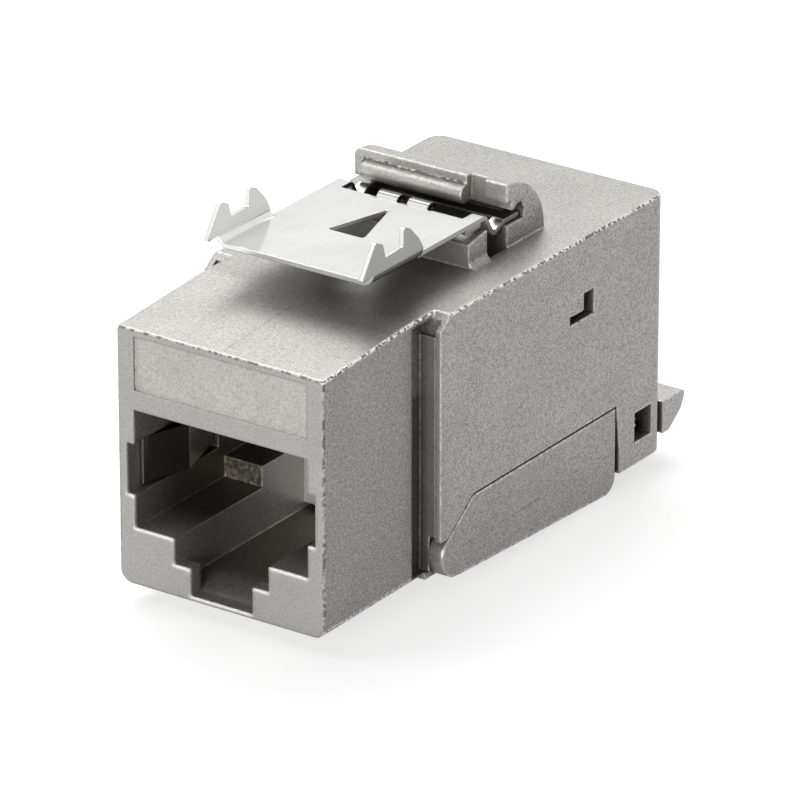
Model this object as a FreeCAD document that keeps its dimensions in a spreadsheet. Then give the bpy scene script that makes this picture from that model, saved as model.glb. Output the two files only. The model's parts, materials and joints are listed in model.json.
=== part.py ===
import FreeCAD, Part
import math
import os
import Sketcher

# A shielded, tool-free RJ45 keystone jack, in millimetres. The origin is the middle of the front face's
# lower edge: +X is to the right seen from the front, +Y goes back along the jack and +Z is up.

DIMENSIONS = {
    # nose: the slim front block that passes through the panel
    "nose_width": 14.5,
    "nose_front_top": 16.1,
    "nose_length": 8.74,
    "nose_corner": 0.85,
    "front_plate": 1.0,
    "edge_round": 0.2,
    # shoulder: the wide rear box behind the panel
    "body_width": 16.66,
    "body_top": 16.6,
    "body_length": 33.9,
    "body_corner": 1.0,
    "ramp_end": 8.7,
    "step_place": 10.1,
    "step_bevel_run": 1.1,
    "step_bevel_drop": 0.8,
    "skin": 1.03,
    "rear_wall": 1.0,
    "roof": 1.4,
    # neck groove between nose and shoulder, where the panel's edge catches
    "groove_floor": 13.1,
    "groove_top": 16.25,
    "groove_depth": 0.45,
    "groove_sill": 0.4,
    "skin_lip": 0.38,
    "slit_width": 0.3,
    "slit_depth": 1.6,
    "bridge_place": 10.8,
    "bridge_floor": 15.3,
    # plug port
    "port_width": 12.2,
    "port_floor": 3.65,
    "port_top": 11.1,
    "port_depth": 13.0,
    "port_back_wall": 0.7,
    "stop_place": 8.8,
    "stop_top": 5.0,
    "notch_width": 13.25,
    "notch_floor": 5.7,
    "notch_top": 8.95,
    "notch_depth": 8.25,
    "channel_width": 6.7,
    "channel_floor": 0.8,
    "channel_ramp": 3.0,
    "back_gap": 0.35,
    "latch_width": 4.4,
    "latch_floor": 0.32,
    "latch_step": 2.03,
    # bare label recess over the port
    "label_width": 12.1,
    "label_floor": 12.3,
    "label_top": 15.66,
    "label_depth": 0.16,
    # chambers for the inner parts
    "nose_chamber_front": 1.25,
    "nose_chamber_top": 15.0,
    "lower_chamber_width": 12.8,
    "lower_chamber_top": 4.65,
    "sill_back": 29.9,
    "rear_floor": 0.8,
    "mouth_width": 9.8,
    "mouth_top": 12.2,
    "mouth_round": 3.0,
    # windows through the side walls
    "upper_window_front": 23.5,
    "upper_window_back": 26.1,
    "upper_window_floor": 11.5,
    "upper_window_top": 13.1,
    "lower_window_front": 30.65,
    "lower_window_back": 32.55,
    "lower_window_floor": 1.4,
    "lower_window_top": 3.35,
    # latch clip's seat on the roof
    "seat_front": 17.25,
    "seat_back": 19.1,
    "seat_low": 18.1,
    "seat_high": 18.4,
    "seat_foot": 0.5,
    "bar_width": 10.8,
    "bar_front": 21.2,
    "bar_radius": 3.9,
    "bar_end_round": 0.48,
    "bead_left": 4.9,
    "bead_right": 2.55,
    "bead_radius": 0.62,
    "bead_up": 19.33,
    "cheek_left": 3.85,
    "cheek_floor": 19.4,
    "nick_depth": 0.5,
    "recess_depth": 0.8,
    "slot_floor": 17.95,
    "slot_height": 0.85,
    "slot_depth": 1.8,
    "slot_rise": 0.25,
    "well_depth": 0.9,
    # latch clip
    "clip_sheet": 0.3,
    "clip_width": 10.3,
    "clip_front": 7.35,
    "clip_back": 18.2,
    "clip_side_back": 19.1,
    "clip_top": 19.2,
    "arrow_width": 2.6,
    "arrow_front": 12.5,
    "arrow_length": 4.6,
    "ear_spread": 0.4,
    "ear_bend": 0.75,
    "ear_height": 2.35,
    "ear_length": 5.0,
    "ear_lean": 1.15,
    "ear_taper": 0.5,
    "hook_height": 1.2,
    "hook_width": 0.65,
    "hook_inset": 1.3,
    "hook_slant": 0.55,
    "hem_length": 1.5,
    "hem_drop": 0.28,
    "tab_width": 0.85,
    "tab_dip": 1.3,
    "tab_clearance": 0.08,
    "tongue_width": 1.45,
    "tongue_gap": 0.7,
    "tongue_rise": 0.25,
    # terminating flap
    "flap_pivot_back": 11.7,
    "flap_pivot_up": 1.35,
    "flap_eye": 1.4,
    "flap_slope": 36.0,
    "flap_seam": 4.4,
    "flap_back": 28.9,
    "flap_arm": 1.0,
    "flap_plate": 1.2,
    "flap_plate_front": 14.6,
    "flap_swing_room": 0.45,
    "flap_rear_slant": 0.35,
    "flap_step": 0.29,
    "flap_fall": 0.86,
    "flap_round": 0.5,
    "flap_heel": 1.2,
    "flap_gap": 0.15,
    "peg_radius": 0.8,
    "peg_length": 1.0,
    "peg_clearance": 0.05,
    # contact springs and their carrier
    "contact_pitch": 1.02,
    "contact_size": 0.4,
    "leg_room": 0.65,
    "contact_front": 2.4,
    "contact_fold": 1.2,
    "contact_tip_back": 10.1,
    "contact_tip_up": 8.1,
    "contact_pin_back": 14.3,
    "contact_pin_row": 1.2,
    "carrier_clearance": 0.1,
    "carrier_groove": 0.66,
    "comb_front": 9.2,
    "comb_back": 12.8,
    "comb_floor": 7.2,
    "comb_width": 9.0,
    # side shield springs in the port's notches
    "spring_sheet": 0.2,
    "spring_crest": 4.5,
    "spring_bulge": 0.65,
    # circuit board and wire termination
    "board_floor": 12.4,
    "board_thickness": 1.0,
    "board_width": 12.0,
    "board_front": 13.6,
    "board_back": 29.6,
    "pin_hole": 0.36,
    "pin_stand": 0.6,
    "block_width": 12.0,
    "block_front": 16.2,
    "block_back": 28.9,
    "block_floor": 7.4,
    "lug_rise": 0.3,
    "lug_edge": 0.2,
    "block_roof": 1.6,
    "lug_clearance": 0.1,
    "trough_width": 4.8,
    "blade_place": 4.4,
    "blade_front": 17.7,
    "blade_pitch": 3.2,
    "blade_width": 2.2,
    "blade_sheet": 0.4,
    "blade_tip": 3.9,
    "blade_pin": 0.48,
    "blade_point": 0.4,
    "blade_taper": 0.5,
    "blade_lead": 0.7,
    "blade_root": 0.4,
    "blade_slit": 0.35,
    "blade_clearance": 0.1,
    "manager_width": 12.2,
    "manager_front": 14.5,
    "manager_back": 28.8,
    "manager_clearance": 0.1,
    "manager_wall": 1.2,
    "trough_depth": 4.2,
    "trough_round": 1.0,
    "wire_slot": 1.0,
    "wire_slot_depth": 2.6,
    # cable shelf behind the jack
    "shelf_inset": 0.13,
    "shelf_stem": 11.0,
    "shelf_front": 30.1,
    "shelf_lug_place": 32.0,
    "shelf_back": 36.4,
    "shelf_top": 2.85,
    "shelf_gap": 0.1,
    "shelf_lug": 0.8,
    "shelf_toe": 0.7,
    "shelf_chin": 0.4,
    "shelf_chin_drop": 1.1,
}

CONTACTS = 8
BLADES = 8


class Size:
    """A length or an angle: its number, and the expression that keeps it tied to the sheet."""

    def __init__(self, text, number):
        self.text = text
        self.number = number

    def __add__(self, other):
        other = size(other)
        return Size(f"({self.text} + {other.text})", self.number + other.number)

    def __sub__(self, other):
        other = size(other)
        return Size(f"({self.text} - {other.text})", self.number - other.number)

    def __mul__(self, other):
        other = size(other)
        return Size(f"({self.text} * {other.text})", self.number * other.number)

    def __truediv__(self, other):
        other = size(other)
        return Size(f"({self.text} / {other.text})", self.number / other.number)

    def __radd__(self, other):
        return size(other) + self

    def __rsub__(self, other):
        return size(other) - self

    def __rmul__(self, other):
        return size(other) * self

    def __neg__(self):
        return Size(f"(-1 * {self.text})", -self.number)


def size(item):
    return item if isinstance(item, Size) else Size(repr(float(item)), float(item))


def sine(angle):
    return Size(f"sin({angle.text} * 1deg)", math.sin(math.radians(angle.number)))


def cosine(angle):
    return Size(f"cos({angle.text} * 1deg)", math.cos(math.radians(angle.number)))


class Sizes:
    """Reads a driving dimension by its name, such as d.nose_width."""

    def __getattr__(self, name):
        return Size(f"dims.{name}", DIMENSIONS[name])


doc = FreeCAD.newDocument("keystone_jack")
d = Sizes()
parts = []


def make_sheet():
    sheet = doc.addObject("Spreadsheet::Sheet", "dims")
    for row, (name, number) in enumerate(DIMENSIONS.items(), start=1):
        sheet.set(f"A{row}", name)
        sheet.set(f"B{row}", str(number))
        sheet.setAlias(f"B{row}", name)
    doc.recompute()


def new_body(name):
    body = doc.addObject("PartDesign::Body", name)
    body.Label = name
    parts.append(body)
    return body


def plane(body, role):
    return next(item for item in body.Origin.OriginFeatures if item.Role == role)


def bind(item, name, amount):
    item.setExpression(name, size(amount).text)


def new_sketch(body, name, role, offset=0):
    """A sketch on one of the body's own planes. In XZ_Plane the offset counts towards -Y."""
    sketch = body.newObject("Sketcher::SketchObject", name)
    sketch.AttachmentSupport = (plane(body, role), [""])
    sketch.MapMode = "FlatFace"
    bind(sketch, ".AttachmentOffset.Base.z", offset)
    return sketch


def fix_point(sketch, geometry, end, place):
    """Ties one point of the sketch to the sheet."""
    for kind, amount in zip(("DistanceX", "DistanceY"), place):
        index = sketch.addConstraint(
            Sketcher.Constraint(kind, -1, 1, geometry, end, size(amount).number)
        )
        name = f"{kind}_{geometry}_{end}"
        sketch.renameConstraint(index, name)
        bind(sketch, f"Constraints.{name}", amount)


def tie_radius(sketch, geometry, radius):
    index = sketch.addConstraint(Sketcher.Constraint("Radius", geometry, size(radius).number))
    name = f"Radius_{geometry}"
    sketch.renameConstraint(index, name)
    bind(sketch, f"Constraints.{name}", radius)


def vector(place):
    return FreeCAD.Vector(size(place[0]).number, size(place[1]).number, 0)


def rounding(before, corner, after, radius):
    """Where an arc of that radius starts and ends at a corner, its centre, and whether it turns left."""
    inward = (corner - before).normalize()
    outward = (after - corner).normalize()
    turn = inward.getAngle(outward)
    reach = radius * math.tan(turn / 2)
    left = inward.cross(outward).z > 0
    side = FreeCAD.Vector(-inward.y, inward.x, 0) * (1 if left else -1)
    start = corner - inward * reach
    return start, corner + outward * reach, start + side * radius, left


def trace(sketch, corners, closed=True):
    """Draws lines through the corners. A corner is (a, b), or (a, b, radius) where it is rounded."""
    count = len(corners)
    spots = [vector(corner) for corner in corners]
    starts = list(spots)
    ends = list(spots)
    centres = {}
    for index, corner in enumerate(corners):
        if len(corner) == 3:
            ends[index], starts[index], centre, left = rounding(
                spots[index - 1], spots[index], spots[(index + 1) % count], size(corner[2]).number
            )
            centres[index] = (centre, left)
    sides = count if closed else count - 1
    lines = [
        sketch.addGeometry(Part.LineSegment(starts[i], ends[(i + 1) % count]), False) for i in range(sides)
    ]
    for index, corner in enumerate(corners):
        into = lines[index - 1] if closed or index else None
        out = lines[index] if index < sides else None
        if index in centres:
            round_corner(sketch, corner, into, out, ends[index], starts[index], *centres[index])
            continue
        if into is not None and out is not None:
            sketch.addConstraint(Sketcher.Constraint("Coincident", into, 2, out, 1))
        if out is not None:
            fix_point(sketch, out, 1, corner)
        else:
            fix_point(sketch, into, 2, corner)


def round_corner(sketch, corner, into, out, start, end, centre, left):
    """A tangent arc between two lines, whose sharp corner stays where the sheet puts it."""
    radius = size(corner[2])
    first, last = (start, end) if left else (end, start)
    angles = [math.atan2(spot.y - centre.y, spot.x - centre.x) for spot in (first, last)]
    if angles[1] < angles[0]:
        angles[1] += 2 * math.pi
    circle = Part.Circle(centre, FreeCAD.Vector(0, 0, 1), radius.number)
    arc = sketch.addGeometry(Part.ArcOfCircle(circle, *angles), False)
    near, far = (1, 2) if left else (2, 1)
    sketch.addConstraint(Sketcher.Constraint("Tangent", into, 2, arc, near))
    sketch.addConstraint(Sketcher.Constraint("Tangent", arc, far, out, 1))
    tie_radius(sketch, arc, radius)
    point = sketch.addGeometry(Part.Point(vector(corner)), True)
    sketch.addConstraint(Sketcher.Constraint("PointOnObject", point, 1, into))
    sketch.addConstraint(Sketcher.Constraint("PointOnObject", point, 1, out))
    fix_point(sketch, point, 1, corner)


def circle(sketch, place, radius):
    shape = Part.Circle(vector(place), FreeCAD.Vector(0, 0, 1), size(radius).number)
    geometry = sketch.addGeometry(shape, False)
    fix_point(sketch, geometry, 3, place)
    tie_radius(sketch, geometry, radius)


def outline(body, name, role, *loops, offset=0):
    sketch = new_sketch(body, name, role, offset)
    for loop in loops:
        trace(sketch, loop)
    return sketch


def rectangle(left, right, low, high):
    return [(left, low), (right, low), (right, high), (left, high)]


def extrude(body, kind, name, sketch, length, both=False, flip=False):
    feature = body.newObject(f"PartDesign::{kind}", name)
    feature.Profile = sketch
    bind(feature, "Length", length)
    feature.SideType = "Symmetric" if both else "One side"
    feature.Reversed = flip
    return feature


def pad(body, name, sketch, length, both=False, flip=False):
    return extrude(body, "Pad", name, sketch, length, both, flip)


def pocket(body, name, sketch, length, both=False, flip=False):
    """A cut that has to take something away."""
    doc.recompute()
    before = body.Shape.Volume
    feature = extrude(body, "Pocket", name, sketch, length, both, flip)
    doc.recompute()
    if body.Shape.Volume > before - 1e-4:
        raise ValueError(f"{body.Label}.{name} cuts nothing")
    return feature


def mirror(body, name, features):
    """Copies the features to the other side of the jack's middle plane."""
    doc.recompute()
    feature = body.newObject("PartDesign::Mirrored", name)
    feature.Originals = features
    feature.MirrorPlane = (plane(body, "YZ_Plane"), [""])
    body.Tip = feature
    return feature


def fillet(body, name, radius, wanted):
    """Rounds the edges for which wanted(bounding box, edge) is true."""
    doc.recompute()
    base = body.Tip
    edges = [
        f"Edge{number}"
        for number, edge in enumerate(base.Shape.Edges, start=1)
        if wanted(edge.BoundBox, edge)
    ]
    if not edges:
        raise ValueError(f"{body.Label}.{name} finds no edge")
    feature = body.newObject("PartDesign::Fillet", name)
    feature.Base = (base, edges)
    bind(feature, "Radius", radius)
    doc.recompute()
    return feature


def sweep(body, name, path, profile):
    feature = body.newObject("PartDesign::AdditivePipe", name)
    feature.Profile = profile
    feature.Spine = path
    return feature


def near(value, target):
    return abs(value - size(target).number) < 1e-3


def along(box, axis):
    """True for a box that is long along one axis and thin along the others."""
    spans = {"x": box.XLength, "y": box.YLength, "z": box.ZLength}
    return spans.pop(axis) > 0.5 and max(spans.values()) < 1e-3


# Places that several parts share.
bar_top = d.body_top + d.bar_radius
roof_inside = d.body_top - d.roof
chamber_width = d.body_width - 2 * d.skin
chamber_front = d.port_depth + d.port_back_wall
chamber_back = d.body_length - d.rear_wall
arm_inside = d.body_width / 2 - d.flap_arm
arm_wall = arm_inside - 0.1
eye_floor = d.flap_pivot_up - d.flap_eye
flap_front_floor = eye_floor - d.flap_step
board_top = d.board_floor + d.board_thickness
contact_leg = d.board_floor - d.leg_room


def flap_floor(place):
    """Height of the flap's sloping underside at that distance back."""
    share = (place - d.flap_pivot_back) / (d.flap_back - d.flap_pivot_back)
    return flap_front_floor - d.flap_fall * share


def flap_shoulder(extra):
    """The slanted front edge of the flap's arm, as its lower and upper end, moved out by extra."""
    reach = d.flap_eye + extra
    low = (d.flap_pivot_back - reach * sine(d.flap_slope), d.flap_pivot_up + reach * cosine(d.flap_slope))
    top = d.flap_seam + extra
    run = (top - low[1]) * cosine(d.flap_slope) / sine(d.flap_slope)
    return low, (low[0] + run, top)


def contact_place(index):
    return d.contact_pitch * (index - (CONTACTS - 1) / 2)


def blade_spot(index):
    """X and Y of a blade: the first half stand on the left, the rest on the right."""
    side = -1 if index < BLADES // 2 else 1
    return side * d.blade_place, d.blade_front + (index % (BLADES // 2)) * d.blade_pitch


def housing_shell(body):
    """The outer form: slim nose, wide shoulder, cast corners."""
    nose = [
        (0, 0),
        (d.body_length, 0),
        (d.body_length, d.body_top),
        (d.ramp_end, d.body_top),
        (0, d.nose_front_top),
    ]
    pad(body, "nose", outline(body, "nose_side", "YZ_Plane", nose), d.nose_width, both=True)
    fillet(
        body, "nose_corners", d.nose_corner,
        lambda box, edge: along(box, "y") and near(box.ZMax, 0),
    )
    fillet(
        body, "nose_edges", d.edge_round,
        lambda box, edge: near(box.YMax, 0) or (near(abs(box.XMin), d.nose_width / 2) and box.ZMin > 1
                                                 and box.XLength < 1e-3 and box.YLength > 0.5),
    )
    shoulder = [
        (d.step_place, 0),
        (d.body_length, 0),
        (d.body_length, d.body_top),
        (d.step_place + d.step_bevel_run, d.body_top),
        (d.step_place, d.body_top - d.step_bevel_drop),
    ]
    pad(body, "shoulder", outline(body, "shoulder_side", "YZ_Plane", shoulder), d.body_width, both=True)
    fillet(
        body, "rear_corners", d.body_corner,
        lambda box, edge: near(box.YMin, d.body_length) and (along(box, "z") or near(box.ZMax, 0)),
    )
    fillet(
        body, "shoulder_edges", d.edge_round,
        lambda box, edge: near(box.ZMin, d.body_top) and near(abs(box.XMin), d.body_width / 2)
        and along(box, "y"),
    )


def neck_groove(body):
    """The recess behind the nose on both sides, where the panel's edge sits, with a slit in the skin."""
    floor = d.groove_floor / 2
    out = d.body_width / 2 + 1
    lip = d.body_width / 2 - d.skin_lip
    wall = d.step_place + d.groove_depth
    plan = [
        (floor, d.nose_length),
        (out, d.nose_length),
        (out, d.step_place),
        (lip, d.step_place),
        (lip, wall + d.slit_depth),
        (lip - d.slit_width, wall + d.slit_depth),
        (lip - d.slit_width, wall),
        (floor, wall),
    ]
    groove = pocket(
        body, "groove", outline(body, "groove_plan", "XY_Plane", plan, offset=d.bridge_floor),
        d.bridge_floor - d.groove_sill,
    )
    under = rectangle(floor, d.nose_width / 2 + 0.1, d.nose_length, d.bridge_place)
    eave = pocket(
        body, "groove_eave", outline(body, "eave_plan", "XY_Plane", under, offset=d.groove_top),
        d.groove_top - d.bridge_floor + 0.1,
    )
    side = rectangle(d.nose_width / 2, lip, d.nose_length, d.bridge_place)
    front = pocket(
        body, "bridge_front", outline(body, "bridge_plan", "XY_Plane", side, offset=d.body_top + 0.1),
        d.body_top + 0.2 - d.bridge_floor,
    )
    mirror(body, "groove_pair", [groove, eave, front])


def plug_port(body):
    """The tab-down plug port: cavity with stops, latch channel, stepped front plate and side notches."""
    cavity = [
        (0, d.port_floor),
        (d.stop_place, d.port_floor),
        (d.stop_place, d.stop_top),
        (d.port_depth, d.stop_top),
        (d.port_depth, d.port_top + 0.1),
        (d.front_plate, d.port_top + 0.1),
        (d.front_plate, d.port_top),
        (0, d.port_top),
    ]
    pocket(body, "port", outline(body, "port_side", "YZ_Plane", cavity), d.port_width, both=True)
    channel = [
        (d.front_plate, d.stop_top),
        (d.front_plate, d.latch_floor),
        (d.channel_ramp, d.channel_floor),
        (d.port_depth, d.channel_floor),
        (d.port_depth, d.stop_top),
    ]
    pocket(body, "channel", outline(body, "channel_side", "YZ_Plane", channel), d.channel_width, both=True)
    gap = rectangle(
        d.port_depth - 0.1, chamber_front + 0.1, d.channel_floor, d.channel_floor + d.back_gap
    )
    pocket(body, "back_gap", outline(body, "gap_side", "YZ_Plane", gap), d.channel_width, both=True)
    wide = d.channel_width / 2
    slim = d.latch_width / 2
    mouth = [
        (-wide, d.port_floor + 0.1),
        (-wide, d.latch_step),
        (-slim, d.latch_step),
        (-slim, d.latch_floor),
        (slim, d.latch_floor),
        (slim, d.latch_step),
        (wide, d.latch_step),
        (wide, d.port_floor + 0.1),
    ]
    pocket(body, "latch_mouth", outline(body, "latch_face", "XZ_Plane", mouth), d.front_plate)
    notch = rectangle(-d.notch_width / 2, d.notch_width / 2, d.notch_floor, d.notch_top)
    pocket(body, "notches", outline(body, "notch_face", "XZ_Plane", notch), d.notch_depth)
    label = rectangle(-d.label_width / 2, d.label_width / 2, d.label_floor, d.label_top)
    pocket(body, "label", outline(body, "label_face", "XZ_Plane", label), d.label_depth)


def chambers(body):
    """Room for the carrier, board, termination block and wire manager, and the way out for the cable."""
    nose = rectangle(d.nose_chamber_front, chamber_front + 1, d.port_top, d.nose_chamber_top)
    pocket(body, "nose_chamber", outline(body, "nose_room", "YZ_Plane", nose), d.port_width, both=True)
    upper = rectangle(chamber_front, chamber_back, d.lower_chamber_top, roof_inside)
    pocket(body, "upper_chamber", outline(body, "upper_room", "YZ_Plane", upper), chamber_width, both=True)
    lower = rectangle(chamber_front, d.flap_back + 0.1, flap_front_floor - 2, d.lower_chamber_top + 0.1)
    pocket(
        body, "lower_chamber", outline(body, "lower_room", "YZ_Plane", lower),
        d.lower_chamber_width, both=True,
    )
    rear = rectangle(d.sill_back, chamber_back, d.rear_floor, d.lower_chamber_top + 0.1)
    pocket(body, "rear_chamber", outline(body, "rear_room", "YZ_Plane", rear), chamber_width, both=True)
    stem = d.shelf_stem / 2 + d.shelf_gap
    half = d.mouth_width / 2
    sill = d.shelf_top + d.shelf_gap
    mouth = [
        (-stem, d.rear_floor),
        (stem, d.rear_floor),
        (stem, sill),
        (half, sill),
        (half, d.mouth_top, d.mouth_round),
        (-half, d.mouth_top, d.mouth_round),
        (-half, sill),
        (-stem, sill),
    ]
    pocket(
        body, "cable_mouth", outline(body, "mouth_face", "XZ_Plane", mouth, offset=-chamber_back + 0.1),
        d.rear_wall + 1,
    )


def flap_seat(body):
    """The flush recesses for the flap's arms, the opening for its plate and the holes for its pegs."""
    out = d.body_width / 2 + 0.2
    low, head = flap_shoulder(d.flap_gap)
    under = flap_front_floor - 2
    back = d.flap_back + d.flap_gap
    arm = [
        (d.nose_length, under),
        (back, under),
        (back, d.flap_pivot_up),
        (back - d.flap_rear_slant, head[1]),
        head,
        low,
        (d.nose_length, low[1]),
    ]
    recess = pocket(
        body, "arm_recess", outline(body, "arm_side", "YZ_Plane", arm, offset=out), out - arm_wall
    )
    hole = new_sketch(body, "peg_hole_side", "YZ_Plane", out)
    circle(hole, (d.flap_pivot_back, d.flap_pivot_up), d.peg_radius + d.peg_clearance)
    depth = out - arm_inside + d.peg_length + 0.1
    holes = pocket(body, "peg_hole", hole, depth)
    mirror(body, "arm_pair", [recess, holes])
    front = d.flap_plate_front - d.flap_swing_room
    plate = [
        (front, under),
        (back, under),
        (back, flap_floor(back) + d.flap_plate + d.flap_gap),
        (front, flap_floor(front) + d.flap_plate + d.flap_gap),
    ]
    pocket(
        body, "plate_recess", outline(body, "plate_side", "YZ_Plane", plate), d.body_width + 1, both=True
    )


def side_windows(body):
    out = d.body_width / 2 + 0.2
    depth = out - chamber_width / 2 + 0.1
    upper = rectangle(
        d.upper_window_front, d.upper_window_back, d.upper_window_floor, d.upper_window_top
    )
    lower = rectangle(
        d.lower_window_front, d.lower_window_back, d.lower_window_floor, d.lower_window_top
    )
    high = pocket(body, "upper_window", outline(body, "upper_pane", "YZ_Plane", upper, offset=out), depth)
    deep = pocket(body, "lower_window", outline(body, "lower_pane", "YZ_Plane", lower, offset=out), depth)
    mirror(body, "window_pair", [high, deep])


def clip_seat(body):
    """The cast seat on the roof: a rest for the clip, and a round-backed bar with a bead and a tab slot."""
    foot = d.body_top - 0.3
    rest = [
        (d.seat_front, foot),
        (d.seat_back, foot),
        (d.seat_back, d.seat_high),
        (d.seat_front, d.seat_low),
    ]
    pad(body, "clip_rest", outline(body, "rest_side", "YZ_Plane", rest), d.bar_width, both=True)
    fillet(
        body, "rest_foot", d.seat_foot,
        lambda box, edge: along(box, "y") and near(box.ZMin, d.body_top)
        and near(abs(box.XMin), d.bar_width / 2) and box.YLength < 3,
    )
    back = d.bar_front + d.bar_radius
    bar = [
        (d.bar_front, foot),
        (back, foot),
        (back, bar_top, d.bar_radius - 0.02),
        (d.bar_front, bar_top),
    ]
    pad(body, "clip_bar", outline(body, "bar_side", "YZ_Plane", bar), d.bar_width, both=True)
    fillet(
        body, "bar_shoulder", d.bar_end_round,
        lambda box, edge: near(box.XMin, -d.bar_width / 2) and near(box.XMax, -d.bar_width / 2)
        and near(box.ZMax, bar_top) and box.YLength > 3,
    )
    bead_side = new_sketch(body, "bead_side", "YZ_Plane", -d.bead_left)
    circle(bead_side, (d.bar_front, d.bead_up), d.bead_radius)
    pad(body, "bead", bead_side, d.bead_left + d.bead_right)
    fillet(
        body, "bead_end", d.bead_radius * 0.6,
        lambda box, edge: near(box.XMin, -d.bead_left) and near(box.XMax, -d.bead_left)
        and near(box.YMin, d.bar_front - d.bead_radius),
    )
    open_front = d.bar_front - 0.2
    top = d.slot_floor + d.slot_height
    end = d.bar_front + d.slot_depth
    slot = [
        (open_front, d.slot_floor),
        (end, d.slot_floor),
        (end, top - 0.35, 0.1),
        (end - 0.25, top + d.slot_rise, 0.2),
        (end - 0.75, top + d.slot_rise, 0.2),
        (end - 1.1, top),
        (open_front, top),
    ]
    pocket(body, "tab_slot", outline(body, "slot_side", "YZ_Plane", slot), d.bar_width + 1, both=True)
    under = d.bead_up - d.bead_radius + 0.1
    dark = rectangle(open_front, d.bar_front + d.recess_depth, d.body_top + 0.4, under)
    pocket(
        body, "bar_recess", outline(body, "recess_side", "YZ_Plane", dark, offset=d.cheek_left),
        d.cheek_left + d.bead_left - 0.3,
    )
    nick = rectangle(open_front, d.bar_front + d.nick_depth, under - 0.1, bar_top + 0.1)
    pocket(
        body, "bar_nick", outline(body, "nick_side", "YZ_Plane", nick, offset=d.cheek_left),
        d.cheek_left - d.bead_right,
    )
    lap = rectangle(open_front, d.bar_front + d.nick_depth, top - 0.1, d.cheek_floor)
    pocket(
        body, "cheek_lap", outline(body, "lap_side", "YZ_Plane", lap, offset=d.bar_width / 2 + 0.1),
        d.bar_width / 2 + 0.1 - d.cheek_left,
    )
    well = rectangle(-d.bar_width / 2, d.bar_width / 2, d.seat_back, d.bar_front)
    pocket(
        body, "well", outline(body, "well_plan", "XY_Plane", well, offset=d.body_top + 0.1),
        d.well_depth + 0.1,
    )


def make_housing():
    body = new_body("housing")
    housing_shell(body)
    neck_groove(body)
    plug_port(body)
    chambers(body)
    flap_seat(body)
    side_windows(body)
    clip_seat(body)


def ear_outline():
    """One upright ear of the clip, with its two hooks, seen from the side."""
    low = d.clip_top - d.clip_sheet + d.ear_bend
    top = d.clip_top + d.ear_height
    front = d.clip_front
    back = front + d.ear_length
    notch = top - d.hook_height
    hook_back = back - d.hook_inset
    return [
        (front - d.ear_lean, low - 0.15, 0.1),
        (front - 0.1, low),
        (back, low),
        (back - 0.1, low + 0.25, 0.2),
        (back - d.ear_taper, low + 0.85, 0.2),
        (hook_back, top - 0.25, 0.12),
        (hook_back - d.hook_width, top, 0.1),
        (hook_back - d.hook_width - 0.05, notch + 0.05, 0.05),
        (front + d.hook_width + d.hook_slant, notch, 0.12),
        (front + d.hook_width + 0.3, top - 0.3, 0.1),
        (front + 0.25, top, 0.1),
    ]


def clip_plate(body, low, half, bend, inner):
    """The flat plate: narrower between the ears, longer at both sides behind, with the arrow hole."""
    ear_end = d.clip_front + d.ear_length
    right = [
        (bend, d.clip_front),
        (bend, ear_end),
        (half, ear_end + 0.15),
        (half, d.clip_side_back),
        (inner, d.clip_side_back),
        (inner, d.clip_back),
    ]
    left = [(-1 * across, back) for across, back in reversed(right)]
    tip = d.arrow_front + d.arrow_length
    arrow = [
        (-d.arrow_width / 2, d.arrow_front, 0.2),
        (d.arrow_width / 2, d.arrow_front, 0.2),
        (0, tip, 0.12),
    ]
    pad(
        body, "plate", outline(body, "plate_plan", "XY_Plane", right + left, arrow, offset=low),
        d.clip_sheet,
    )


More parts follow.
